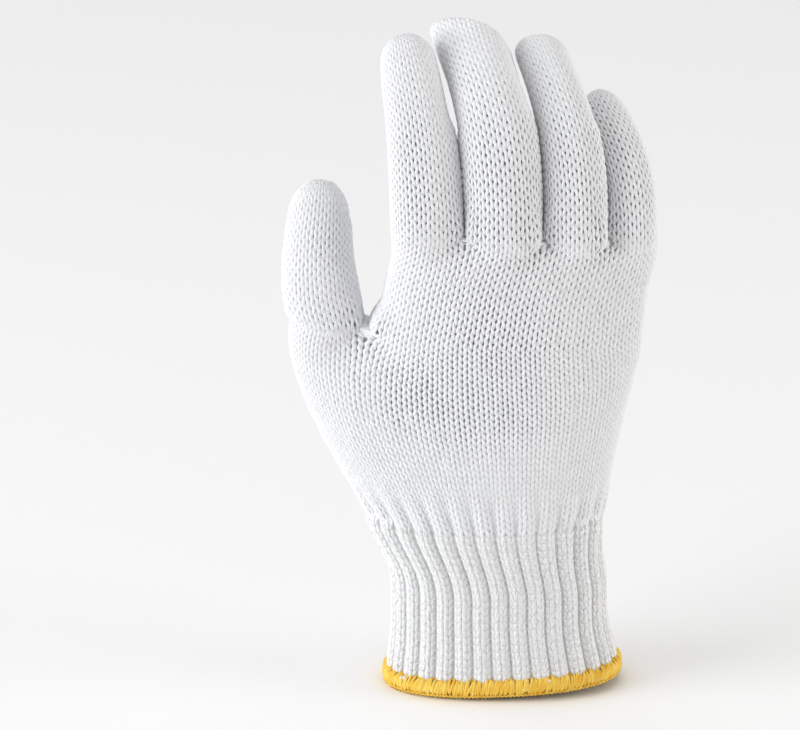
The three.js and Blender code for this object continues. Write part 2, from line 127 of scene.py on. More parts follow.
# Points read to a wale, rings read to a course, and steps along a curve and a digit's middle line
WALE_POINTS = 4
COURSE_RINGS = 3
LEAST_STEPS = 48
LINE_STEPS = 120
SHAFT_RINGS = 60
TIP_RINGS = 40

# How many times as long as its foot a digit's shaft is
SHAFT_FEET = 7.0

# At a crotch: how far the corners of a digit stand out, how wide, and how many courses up
CORNER_BULGE = 1.7
CORNER_WIDTH = 1.1
CORNER_COURSES = 4.5

# How deep, how wide and in which last courses the cloth is drawn in between two digits
CROTCH_DEPTH = 0.9
CROTCH_WIDTH = 0.7
CROTCH_COURSES = (-1.0, 0.9)

# The strand that laces a crotch: its points, how often it crosses, how far it swings, and how far it bows
LACE_POINTS = 200
LACE_CROSSINGS = 17.0
LACE_SWING = 0.62
LACE_BOW = 0.5


def smooth(value: Points, low: float, high: float) -> Points:
    """Rise from 0 at low to 1 at high with soft ends."""
    share = np.clip((value - low) / (high - low), 0.0, 1.0)
    return share * share * (3.0 - 2.0 * share)


def mix(low: Points, high: Points, share: Points) -> Points:
    """Go from low to high by a share."""
    return low + (high - low) * share


def unit(vectors: Points) -> Points:
    """Scale vectors to a length of one."""
    return vectors / np.maximum(np.linalg.norm(vectors, axis=-1, keepdims=True), 1e-9)


def tightness(place: Points) -> Points:
    """Give how much thicker the yarn lies where the cloth isn't stretched open.

    Args:
        place: points on the cloth.

    Returns:
        The factor at each point.
    """
    opened = sum(much * np.exp(-((place[..., 0] - x) / wide) ** 2 - ((place[..., 2] - z) / tall) ** 2)
                 for x, z, wide, tall, much in OPEN_CLOTH)
    return 1.0 + TIGHTENING * (1.0 - np.minimum(opened, MOST_OPEN))


def outline(degrees: Points, half_width: float, half_depth: float) -> tuple[Points, Points]:
    """Give points of a rounded outline.

    Args:
        degrees: angles from the thumb side over the back of the hand.
        half_width: half the outline's width.
        half_depth: half the outline's depth.

    Returns:
        The points' x and y.
    """
    cosine, sine = np.cos(np.radians(degrees)), np.sin(np.radians(degrees))
    power = 2.0 / ROUNDNESS
    return (-half_width * np.sign(cosine) * np.abs(cosine) ** power,
            -half_depth * np.sign(sine) * np.abs(sine) ** power)


def spaced(point_at: Callable[[Points], Points], start: float, end: float, steps: int) -> Points:
    """Give evenly spaced points along a curve.

    Args:
        point_at: gives the curve's points at angles.
        start: the angle where the curve begins.
        end: the angle where it ends.
        steps: how many steps it is cut into.

    Returns:
        The points, both ends included.
    """
    points = point_at(np.linspace(start, end, max(LEAST_STEPS, steps * 4) + 1))
    run = np.concatenate([[0.0], np.cumsum(np.linalg.norm(np.diff(points, axis=0), axis=1))])
    wanted = np.linspace(0.0, run[-1], steps + 1)
    return np.stack([np.interp(wanted, run, points[:, axis]) for axis in range(3)], axis=1)


def joined(arcs: list[Points]) -> Points:
    """Make one closed ring of arcs that follow each other.

    Args:
        arcs: the arcs' points.

    Returns:
        The ring's points, with one between two ends that meet.
    """
    rings = []
    for arc, before in zip(arcs, [arcs[-1]] + arcs[:-1]):
        rings.append((arc[:1] + before[-1:]) / 2.0)
        rings.append(arc[1:-1])
    return np.concatenate(rings)


def from_middle(wale: Points, middle: float, count: int) -> Points:
    """Give how many wales lie between a middle one and a wale, the short way round."""
    return (wale - middle + count / 2.0) % count - count / 2.0


@dataclass(frozen=True)
class Wales:
    """How many wales lie on a tube's back, its little-finger side and its thumb side."""

    back: int
    little_side: int
    thumb_side: int

    @property
    def all(self) -> int:
        """The wales all round."""
        return 2 * self.back + self.little_side + self.thumb_side


def four_arcs(point_at: Callable[[Points], Points], corner: float, wales: Wales) -> dict[str, Points]:
    """Cut a closed outline into its back, little-finger side, palm and thumb side.

    Args:
        point_at: gives the outline's points at angles.
        corner: the angle from a side at which the back and the palm begin.
        wales: how many wales each arc has.

    Returns:
        The arcs' points by name.
    """
    back = wales.back * WALE_POINTS
    return {
        "back": spaced(point_at, corner, 180.0 - corner, back),
        "little_side": spaced(point_at, 180.0 - corner, 180.0 + corner, wales.little_side * WALE_POINTS),
        "palm": spaced(point_at, 180.0 + corner, 360.0 - corner, back),
        "thumb_side": spaced(point_at, 360.0 - corner, 360.0 + corner, wales.thumb_side * WALE_POINTS),
    }


def tilt_drop(x: Points, level: float) -> Points:
    """Give the height that a level course has gained at x, as the courses tilt towards the knuckles."""
    return -x * math.tan(math.radians(KNUCKLE_TILT)) * smooth(level, CUFF_TOP, FINGER_CROTCH_Z)


@dataclass(frozen=True)
class Digit:
    """One finger or the thumb: its sizes, how it runs, and its wales.

    Lengths are shares of the knuckles' width. The run's rows hold at, lean, curl, width and depth. The tip
    slants by an angle, higher on its thumb side.
    """

    length: float
    width: float
    depth: float
    tip: float
    slant: float
    x: float
    y: float
    wales: Wales
    run: tuple[tuple[float, float, float, float, float], ...]
    crotch_z: float = FINGER_CROTCH_Z
    from_x: float = KNUCKLE_CENTRE_X

    @property
    def reach(self) -> float:
        """The digit's length in millimetres."""
        return self.length * KNUCKLE_WIDTH

    @property
    def dome(self) -> float:
        """The length of its rounded tip."""
        return self.tip * self.width * KNUCKLE_WIDTH

    @property
    def root(self) -> Points:
        """Where its middle line starts."""
        x = self.from_x + self.x * KNUCKLE_WIDTH
        return np.array([x, self.y * KNUCKLE_WIDTH, self.crotch_z + tilt_drop(x, self.crotch_z)])

    def column(self, at: Points, index: int) -> Points:
        """Read a column of the run between its rows."""
        table = np.array(self.run)
        return np.interp(at, table[:, 0], table[:, index])

    def axes(self, at: Points) -> tuple[Points, Points, Points]:
        """Give the directions along the digit, towards its palm side and across it.

        Args:
            at: shares of the digit's length.

        Returns:
            Unit vectors up the digit, to the palm, and across towards the little finger.
        """
        lean, curl = np.radians(self.column(at, 1)), np.radians(self.column(at, 2))
        up = np.stack([-np.sin(lean) * np.cos(curl), np.sin(curl), np.cos(lean) * np.cos(curl)], axis=-1)
        palm = np.stack([np.sin(lean) * np.sin(curl), np.cos(curl), -np.cos(lean) * np.sin(curl)], axis=-1)
        return up, palm, np.cross(palm, up)

    def section(self, at: float) -> Callable[[Points], Points]:
        """Give the digit's outline at a place along it.

        Args:
            at: the share of its length.

        Returns:
            What gives the outline's points at angles.
        """
        steps = np.linspace(0.0, 1.0, LINE_STEPS + 1)
        ups = self.axes(steps)[0]
        climb = np.cumsum(ups[1:], axis=0) * self.reach / LINE_STEPS
        line = np.concatenate([[self.root], self.root + climb])
        centre = np.array([np.interp(at, steps, line[:, axis]) for axis in range(3)])
        past = max(0.0, (at * self.reach - (self.reach - self.dome)) / self.dome)
        taper = max(LEAST_TAPER, math.sqrt(max(0.0, 1.0 - past ** TIP_SQUARENESS)))
        half_width = self.width * KNUCKLE_WIDTH / 2.0 * float(self.column(at, 3)) * taper
        half_depth = self.depth * KNUCKLE_WIDTH / 2.0 * float(self.column(at, 4)) * taper
        up, palm, across = self.axes(np.array(at))
        slant = math.tan(math.radians(self.slant)) * float(smooth(at, SLANT_START, 1.0))

        def point_at(degrees: Points) -> Points:
            """Give the outline's points at angles."""
            x, y = outline(degrees, half_width, half_depth)
            return centre + x[:, None] * (across - slant * up) + y[:, None] * palm

        return point_at

    def ring(self, at: float) -> Points:
        """Give a ring of the digit, whose foot lies level with the palm's courses.

        Args:
            at: the share of its length.

        Returns:
            The ring's points.
        """
        foot = (1.0 - self.dome / self.reach) / SHAFT_FEET
        if at >= foot:
            return self.plain_ring(at)
        low = self.plain_ring(0.0)
        low[:, 2] = self.crotch_z + tilt_drop(low[:, 0], self.crotch_z)
        return mix(low, self.plain_ring(foot), at / foot)

    def plain_ring(self, at: float) -> Points:
        """Give the digit's ring square to its middle line."""
        return joined(list(four_arcs(self.section(at), DIGIT_CORNER, self.wales).values()))

    def root_arcs(self, level: float) -> dict[str, Points]:
        """Give the arcs of the digit's first ring, brought down into the palm.

        Args:
            level: the height they are brought to.

        Returns:
            The arcs' points by name.
        """
        arcs = four_arcs(self.section(0.0), DIGIT_CORNER, self.wales)
        rise = float(smooth(level, THUMB_CROTCH_Z, FINGER_CROTCH_Z))
        is_finger = self.crotch_z == FINGER_CROTCH_Z
        narrowing = mix(PALM_WIDTH / KNUCKLE_WIDTH, 1.0, rise) if is_finger else 1.0
        centre_x = mix(PALM_CENTRE_X, KNUCKLE_CENTRE_X, rise)
        shift = centre_x - KNUCKLE_CENTRE_X * narrowing if is_finger else 0.0
        for arc in arcs.values():
            arc[:, 0] = arc[:, 0] * narrowing + shift
            arc[:, 2] = level + tilt_drop(arc[:, 0], level)
        return arcs


INDEX = Digit(0.751, 0.279, 0.281, 0.42, 0.0, -0.358, -0.016, Wales(8, 5, 5), (
    (0, 1, 0, 1, 1), (0.25, 4, 10, 0.98, 0.92), (0.5, 8, 22, 0.92, 0.88), (0.75, 13, 38, 0.84, 0.82),
    (1, 14, 46, 0.66, 0.72)))
MIDDLE = Digit(0.865, 0.285, 0.292, 0.22, 34.0, -0.069, -0.026, Wales(8, 5, 5), (
    (0, 0, 0, 1, 1), (0.25, 3, 12, 1.01, 0.9), (0.5, 12, 30, 1.01, 0.88), (0.75, 24, 54, 0.98, 0.84),
    (1, 26, 66, 1.08, 0.8)))
RING = Digit(0.8, 0.238, 0.27, 0.36, 15.0, 0.201, 0.017, Wales(7, 5, 5), (
    (0, -1, 0, 1, 1), (0.25, 3, 14, 0.98, 0.92), (0.5, 14, 28, 0.94, 0.9), (0.75, 25, 44, 0.86, 0.8),
    (1, 32, 54, 0.8, 0.74)))
LITTLE = Digit(0.584, 0.19, 0.227, 0.55, 0.0, 0.419, 0.082, Wales(6, 4, 4), (
    (0, -1, 0, 1, 1), (0.25, 6, 18, 1, 0.96), (0.5, 19, 34, 0.98, 0.94), (0.75, 34, 46, 0.9, 0.88),
    (1, 40, 54, 0.78, 0.78)))
THUMB = Digit(0.541, 0.281, 0.281, 0.5, 0.0, -0.158, 0.086, Wales(8, 5, 5), (
    (0, 18, 0, 1.03, 1), (0.25, 7, 8, 1.02, 1), (0.5, -1, 14, 0.93, 1), (0.75, -5, 20, 0.84, 0.92),
    (1, -4, 26, 0.72, 0.8)), THUMB_CROTCH_Z, PALM_CENTRE_X - PALM_WIDTH / 2.0)
FINGERS = (INDEX, MIDDLE, RING, LITTLE)
HAND_WALES = Wales(sum(digit.wales.back for digit in FINGERS), LITTLE.wales.little_side,
                   INDEX.wales.thumb_side)
PALM_WALES = Wales(HAND_WALES.back + THUMB.wales.back, HAND_WALES.little_side, THUMB.wales.thumb_side)
CUFF_WALES = Wales(PALM_WALES.back, 8, 8)


def plain_arcs(level: float, size: tuple[float, float, float], arch_share: float, corner: float,
               wales: Wales) -> dict[str, Points]:
    """Give the arcs of the palm at a level, without the creases between the fingers.

    Args:
        level: the height of the ring.
        size: the ring's width, depth and middle x.
        arch_share: how much of the hand's arch and hollow shows there.
        corner: the angle from a side at which the back begins.
        wales: how many wales each arc has.

    Returns:
        The arcs' points by name.
    """
    width, depth, centre_x = size

    def point_at(degrees: Points) -> Points:
        """Give the outline's points.

        Args:
            degrees: angles from the thumb side over the back of the hand.

        Returns:
            The points at those angles.
        """
        x, y = outline(degrees, width / 2.0, depth / 2.0)
        arch = PALM_ARCH * arch_share * ((centre_x + x - PALM_ARCH_X) / (width / 2.0)) ** 2
        middle = np.maximum(0.0, 1.0 - (x / (width / 2.0) / HOLLOW_REACH) ** 2)
        in_palm = np.maximum(0.0, y / (depth / 2.0)) * middle
        place_x = centre_x + x
        return np.stack([place_x, y + arch - PALM_HOLLOW * arch_share * in_palm,
                         level + tilt_drop(place_x, level)], axis=1)

    return four_arcs(point_at, corner, wales)


def softened(plain: Points, creased: Points, spread: float) -> Points:
    """Add to a ring its difference from another one, evened out along the ring.

    Args:
        plain: the even ring.
        creased: the ring with creases.
        spread: how far a difference is spread, in points.

    Returns:
        The points of the softened ring.
    """
    difference = creased - plain
    count = len(plain)
    offsets = (np.arange(count) + count // 2) % count - count // 2
    weights = np.exp(-((offsets / max(spread, 0.01)) ** 2) / 2.0)
    weights /= weights.sum()
    spectrum = np.fft.fft(difference, axis=0) * np.fft.fft(weights)[:, None]
    return plain + np.real(np.fft.ifft(spectrum, axis=0))


def cut(points: Points, wales: Wales) -> dict[str, Points]:
    """Cut a closed ring back into its four arcs.

    Args:
        points: the ring's points.
        wales: how many wales each arc has.

    Returns:
        The arcs' points by name, both ends of each included.
    """
    back, little = wales.back * WALE_POINTS, wales.little_side * WALE_POINTS
    starts = {"back": (0, back), "little_side": (back, little), "palm": (back + little, back),
              "thumb_side": (2 * back + little, wales.thumb_side * WALE_POINTS)}
    return {name: points[(start + np.arange(steps + 1)) % len(points)].copy()
            for name, (start, steps) in starts.items()}


def upper_palm_ring(level: float) -> Points:
    """Give a ring of the palm above the thumb: an even hand at its foot, four fingers at its top.

    Args:
        level: the ring's height.

    Returns:
        The ring's points.
    """
    share = float(smooth(level, THUMB_CROTCH_Z, FINGER_CROTCH_Z))
    rise = (level - THUMB_CROTCH_Z) / (FINGER_CROTCH_Z - THUMB_CROTCH_Z)
    size = (mix(PALM_WIDTH, KNUCKLE_WIDTH, rise), mix(PALM_DEPTH, KNUCKLE_DEPTH, share),
            mix(PALM_CENTRE_X, KNUCKLE_CENTRE_X, rise))
    plain = plain_arcs(level, size, mix(THUMB_LEVEL_ARCH, 1.0, share), PALM_CORNER, HAND_WALES)
    parts = [digit.root_arcs(level) for digit in FINGERS]
    creased = joined([*[arcs["back"] for arcs in parts], parts[-1]["little_side"],
                      *[arcs["palm"] for arcs in reversed(parts)], parts[0]["thumb_side"]])
    ring = joined(list(plain.values()))
    below = (FINGER_CROTCH_Z - level) / CREASE_FADE
    points = softened(ring, creased, below * HAND_WALES.back / len(FINGERS) * WALE_POINTS)
    return mix(ring, points, 1.0 - float(smooth(below, CREASE_START, 1.0)))


def lower_palm_ring(level: float) -> Points:
    """Give a ring of the palm below the thumb crotch: an even wrist, then hand and thumb at its top.

    Args:
        level: the ring's height.

    Returns:
        The ring's points.
    """
    rise = max(0.0, (level - CUFF_TOP) / (THUMB_CROTCH_Z - CUFF_TOP))
    share = math.sin(math.pi / 2.0 * rise)
    size = (WRIST_WIDTH, WRIST_DEPTH, WRIST_CENTRE_X)
    plain = joined(list(plain_arcs(level, size, WRIST_ARCH, WRIST_CORNER, PALM_WALES).values()))
    thumb = THUMB.root_arcs(level)
    hand = cut(upper_palm_ring(THUMB_CROTCH_Z), HAND_WALES)
    for arc in hand.values():
        arc[:, 2] = level + tilt_drop(arc[:, 0], level)
    creased = joined([thumb["back"], hand["back"], hand["little_side"], hand["palm"], thumb["palm"],
                      thumb["thumb_side"]])
    below = (THUMB_CROTCH_Z - level) / CREASE_FADE
    soft = softened(plain, creased, below * PALM_WALES.back / (len(FINGERS) + 1) * WALE_POINTS)
    place = mix(plain, soft, share)
    side = np.clip((place[:, 0] - WRIST_CENTRE_X) / (WRIST_WIDTH / 2.0), -1.0, 1.0)
    thenar = THENAR_BULGE * math.sin(math.pi * rise)
    heel = HEEL_BULGE * math.sin(math.pi * rise ** HEEL_CURVE)
    place[:, 0] += side * np.where(side < 0.0, thenar, heel)
    return place


def cuff_ring(level: float) -> Points:
    """Give a ring of the cuff at a level, without its ribs.

    Args:
        level: the ring's height.

    Returns:
        The ring's points.
    """
    flare = 1.0 - float(smooth(level, 0.0, CUFF_TOP * FLARE_END))
    spread = float(smooth(level, CUFF_TOP * WIDENING[0], CUFF_TOP * WIDENING[1]))
    shift = float(smooth(level, CUFF_TOP * SHIFT_START, CUFF_TOP))
    width = mix(mix(CUFF_WIDTH, HEM_WIDTH, flare ** FLARE_CURVE), WRIST_WIDTH, spread)
    depth = mix(mix(CUFF_DEPTH, HEM_DEPTH, flare ** FLARE_CURVE), WRIST_DEPTH, spread)
    centre_x = mix(CUFF_CENTRE_X * (1.0 - flare), WRIST_CENTRE_X, shift)

    def point_at(degrees: Points) -> Points:
        """Give the outline's points at angles."""
        x, y = outline(degrees, width / 2.0, depth / 2.0)
        return np.stack([centre_x + x, y, level + x * math.tan(math.radians(HEM_TILT)) * flare], axis=1)

    corner = mix(PALM_CORNER, WRIST_CORNER, spread)
    return joined(list(four_arcs(point_at, corner, CUFF_WALES).values()))


class Cloth:
    """A tube of cloth read as rings of points, which is looked up by wale and by course."""

    COURSES_BELOW = 2.6
    COURSES_ABOVE = 1.2

    def __init__(self, rings: list[Points], courses: int) -> None:
        """Space the rings evenly along the tube.

        Args:
            rings: closed rings of points, from the tube's foot to its top.
            courses: how many courses the tube has.
        """
        grid = np.stack(rings)
        steps = np.linalg.norm(np.diff(grid, axis=0), axis=2).mean(axis=1)
        run = np.concatenate([[0.0], np.cumsum(steps)])
        wanted = np.linspace(0.0, run[-1], courses * COURSE_RINGS + 1)
        low = np.clip(np.searchsorted(run, wanted, side="right") - 1, 0, len(run) - 2)
        share = ((wanted - run[low]) / (run[low + 1] - run[low]))[:, None, None]
        self.grid = mix(grid[low], grid[low + 1], share)
        self.courses = courses
        self.wales = grid.shape[1] // WALE_POINTS
        along = np.roll(self.grid, -1, axis=1) - np.roll(self.grid, 1, axis=1)
        upward = np.gradient(self.grid, axis=0)
        self.normals = unit(np.cross(along, upward))
        self.pitch = np.linalg.norm(along, axis=2) * WALE_POINTS / 2.0

    def look(self, layer: Points, wale: Points, course: Points) -> Points:
        """Read a layer of the grid between its points.

        Args:
            layer: a value to each grid point.
            wale: places round the tube.
            course: places along the tube, which may run a little past its ends.

        Returns:
            The values at those places.
        """
        column = wale * WALE_POINTS
        row = np.clip(course, -self.COURSES_BELOW, self.courses + self.COURSES_ABOVE) * COURSE_RINGS
        left = np.floor(column).astype(int)
        below = np.clip(np.floor(row).astype(int), 0, len(self.grid) - 2)
        across, up = column - left, row - below
        if layer.ndim == 3:
            across, up = across[..., None], up[..., None]
        left, right = left % layer.shape[1], (left + 1) % layer.shape[1]
        low = mix(layer[below, left], layer[below, right], across)
        high = mix(layer[below + 1, left], layer[below + 1, right], across)
        return mix(low, high, up)


@dataclass(frozen=True)
class Yarn:
    """The finish of spun yarn: its colour, how its shade varies, and its sheen, glow and fuzz."""

    name: str
    colour: tuple[float, float, float]
    shade: tuple[float, float, float]
    roughness: float = 0.9
    sheen: float = 0.2
    glow: float = 0.0
    glow_radius: tuple[float, float, float] = (1.0, 1.0, 1.0)
    fuzz: float = 0.25
    glow_depth: float = 0.8
    sheen_roughness: float = 0.6
    gloss: float = 0.2
    clouds: tuple[float, float, float] = (260.0, 4.0, 0.5)
    cloud_range: tuple[float, float] = (0.35, 0.7)
    fibres: tuple[float, float, float] = (2600.0, 5.0, 0.65)
    fibre_height: float = 0.3

    def material(self) -> bpy.types.Material:
        """Give the yarn's material.

        Returns:
            The material, made the first time it is asked for.
        """
        if self.name in bpy.data.materials:
            return bpy.data.materials[self.name]
        material = bpy.data.materials.new(self.name)
        material.use_nodes = True
        nodes, links = material.node_tree.nodes, material.node_tree.links
        shader = nodes["Principled BSDF"]
        values = {"Roughness": self.roughness, "Sheen Weight": self.sheen,
                  "Sheen Roughness": self.sheen_roughness, "Specular IOR Level": self.gloss,
                  "Subsurface Weight": self.glow, "Subsurface Radius": self.glow_radius,
                  "Subsurface Scale": self.glow_depth * METRES}
        for name, value in values.items():
            shader.inputs[name].default_value = value
        place = nodes.new("ShaderNodeTexCoord").outputs["Object"]
        cloud = self._noise(material, place, self.clouds)
        fibres = self._noise(material, place, self.fibres)
        ramp = nodes.new("ShaderNodeMapRange")
        ramp.inputs["From Min"].default_value, ramp.inputs["From Max"].default_value = self.cloud_range
        tint = nodes.new("ShaderNodeMix")
        tint.data_type = "RGBA"
        tint.inputs[6].default_value = (*self.colour, 1.0)
        tint.inputs[7].default_value = (*self.shade, 1.0)
        bump = nodes.new("ShaderNodeBump")
        bump.inputs["Strength"].default_value = self.fuzz
        bump.inputs["Distance"].default_value = self.fibre_height * METRES
        links.new(cloud, ramp.inputs["Value"])
        links.new(ramp.outputs["Result"], tint.inputs[0])
        links.new(tint.outputs[2], shader.inputs["Base Color"])
        links.new(fibres, bump.inputs["Height"])
        links.new(bump.outputs["Normal"], shader.inputs["Normal"])
        return material

    @staticmethod
    def _noise(material: bpy.types.Material, place: bpy.types.NodeSocket,
               looks: tuple[float, float, float]) -> bpy.types.NodeSocket:
        """Add a noise to a material.

        Args:
            material: the material.
            place: where the noise is read.
            looks: its scale, detail and roughness.

        Returns:
            Its value.
        """
        node = material.node_tree.nodes.new("ShaderNodeTexNoise")
        for name, value in zip(("Scale", "Detail", "Roughness"), looks):
            node.inputs[name].default_value = value
        material.node_tree.links.new(place, node.inputs["Vector"])
        return node.outputs["Fac"]


COTTON = Yarn("bleached cotton yarn", (0.83, 0.835, 0.855), (0.79, 0.795, 0.815), glow=0.2)
# The cuff's cotton is the same yarn painted lighter, for the brighter light that falls on the cuff
RIB_COTTON_PAINTED_LIGHTER = Yarn("bleached cotton rib yarn painted lighter", (0.93, 0.935, 0.945), (0.9, 0.905, 0.915), glow=0.5)
GOLDEN = Yarn("golden overlock thread", (0.9, 0.64, 0.13), (0.82, 0.47, 0.05), 0.8, 0.0, 0.0,
              (1.0, 0.5, 0.1), 0.4)
# Grey sheets behind the loops: painted shade seen through the holes between stitches, lighter grey in the
# ribs
SHADE_SHEET = Yarn("painted shade behind the loops", (0.36, 0.36, 0.37), (0.31, 0.31, 0.32), 0.95, 0.0)
RIB_SHADE_SHEET = Yarn("painted shade behind the loops of the ribs", (0.72, 0.72, 0.73), (0.66, 0.66, 0.67), 0.95, 0.0)


class Strands:
    """Closed strands of yarn gathered into one mesh, with a map of their own."""

    SIDES = 5
    FLATNESS = 0.92
    MAP_EDGE = 0.001
    ROW_EDGE = 0.05

    def __init__(self, bands: int) -> None:
        """Start an empty mesh, with the number of rows of the map that a strand is cut into."""
        self.bands = bands
        self.batches: list[tuple[Points, Points, Points]] = []

    def add(self, line: Points, outward: Points, radius: Points) -> None:
        """Add closed strands: middle points by strand, and the way out of the cloth and radius at each."""
        self.batches.append((line, outward, radius))

    def mesh(self, name: str) -> bpy.types.Mesh:
        """Make the mesh of all the strands.

        Args:
            name: the mesh's name.

        Returns:
            The mesh, in metres.
        """
        rows = sum(len(line) for line, _, _ in self.batches) * self.bands
        vertices, corners, uvs = [], [], []
        first, row = 0, 0
        turn = np.arange(self.SIDES) * 2.0 * math.pi / self.SIDES
        for line, outward, radius in self.batches:
            strands, count, _ = line.shape
            along = unit(np.roll(line, -1, axis=1) - np.roll(line, 1, axis=1))
            side = unit(np.cross(along, outward))
            out = np.cross(side, along)
            around = self.FLATNESS * np.cos(turn)[:, None] * out[:, :, None, :]
            around = around + np.sin(turn)[:, None] * side[:, :, None, :] / self.FLATNESS
            shell = line[:, :, None, :] + around * radius[:, :, None, None]
            vertices.append(shell.reshape(-1, 3))
            strand, step, face = np.meshgrid(np.arange(strands), np.arange(count), np.arange(self.SIDES),
                                             indexing="ij")
            after, beside = (step + 1) % count, (face + 1) % self.SIDES
            ends = ((step, face), (step, beside), (after, beside), (after, face))
            quads = [first + (strand * count + at) * self.SIDES + turned for at, turned in ends]
            corners.append(np.stack(quads, axis=-1).reshape(-1, 4))
            part = count // self.bands
            left, right = (mix(self.MAP_EDGE, 1.0 - self.MAP_EDGE, (step % part + more) / part)
                           for more in (0, 1))
            place = row + strand * self.bands + step // part
            low, high = ((place + mix(self.ROW_EDGE, 1.0 - self.ROW_EDGE, (face + more) / self.SIDES)) / rows
                         for more in (0, 1))
            uv = [(left, low), (left, high), (right, high), (right, low)]
            uvs.append(np.stack([np.stack(pair, axis=-1) for pair in uv], axis=-2).reshape(-1, 2))
            first += strands * count * self.SIDES
            row += strands * self.bands
        return self._filled(name, np.concatenate(vertices) * METRES, np.concatenate(corners),
                            np.concatenate(uvs))

    @staticmethod
    def _filled(name: str, vertices: Points, corners: Points, uvs: Points) -> bpy.types.Mesh:
        """Fill a new mesh from its arrays.

        Args:
            name: the mesh's name.
            vertices: its points.
            corners: four points to a face.
            uvs: a place on the map to each corner.

        Returns:
            The mesh.
        """
        mesh = bpy.data.meshes.new(name)
        mesh.vertices.add(len(vertices))
        mesh.vertices.foreach_set("co", vertices.ravel())
        mesh.loops.add(corners.size)
        mesh.loops.foreach_set("vertex_index", corners.ravel())
        mesh.polygons.add(len(corners))
        mesh.polygons.foreach_set("loop_start", np.arange(len(corners)) * 4)
        mesh.update(calc_edges=True)
        layer = mesh.uv_layers.new(name="OFBake")
        layer.data.foreach_set("uv", uvs.ravel())
        mesh.polygons.foreach_set("use_smooth", np.ones(len(corners), dtype=bool))
        return mesh


class Face(Enum):
    """How a wale looks from outside."""

    KNIT = 1
    PURL = -1


class Side(Enum):
    """A side of a digit."""

    LITTLE = "towards the little finger"
    THUMB = "towards the thumb"


@dataclass(frozen=True)
class Loop:
    """The shape of a stitch: shares of its wale or its course, and sizes in millimetres.

    Its size is full on a full wale. On narrower ones it shrinks, down to the least share, and its yarn
    thins towards the thinnest one. Tight cloth lies flatter.
    """

    sway: float = 0.24
    tall: float = 0.84
    deep: float = 0.48
    yarn: float = 0.6
    samples: int = 10
    unevenness: float = 0.03
    uneven_depth: float = 0.8
    full_wale: float = 3.0
    least: float = 0.45
    thinnest: float = 0.35
    tight_depth: float = 1.6
    inset: float = 0.1


@dataclass(frozen=True)
class Ribs:
    """The cuff's ribs: the wales of each, and how deep its purl wale sits."""

    faces: tuple[Face, ...] = (Face.KNIT, Face.KNIT, Face.PURL)
    depth: float = 1.8
    proud: float = 0.2
    gather: float = 0.3
    roundness: float = 1.4
    change: tuple[float, float] = (0.35, 0.65)

    def phase(self, wale: Points) -> Points:
        """Give the turn of a rib at a wale, 0 in its purl wale."""
        return 2.0 * math.pi * (wale - self.faces.index(Face.PURL)) / len(self.faces)

    def sink(self, wale: Points) -> Points:
        """Give how deep the cloth sits at a wale, in millimetres, with the rib a little proud."""
        return self.depth * ((0.5 + 0.5 * np.cos(self.phase(wale))) ** self.roundness - self.proud)

    def shift(self, wale: Points) -> Points:
        """Give how far a wale moves as the purl wales draw together."""
        return -self.gather * np.sin(self.phase(wale)) * len(self.faces) / (2.0 * math.pi)

    def facing(self, wale: Points) -> Points:
        """Give the value of the face at a wale, with a soft change between knit and purl."""
        distance = np.abs(from_middle(wale, self.faces.index(Face.PURL), len(self.faces)))
        return mix(Face.PURL.value, Face.KNIT.value, smooth(distance, *self.change))


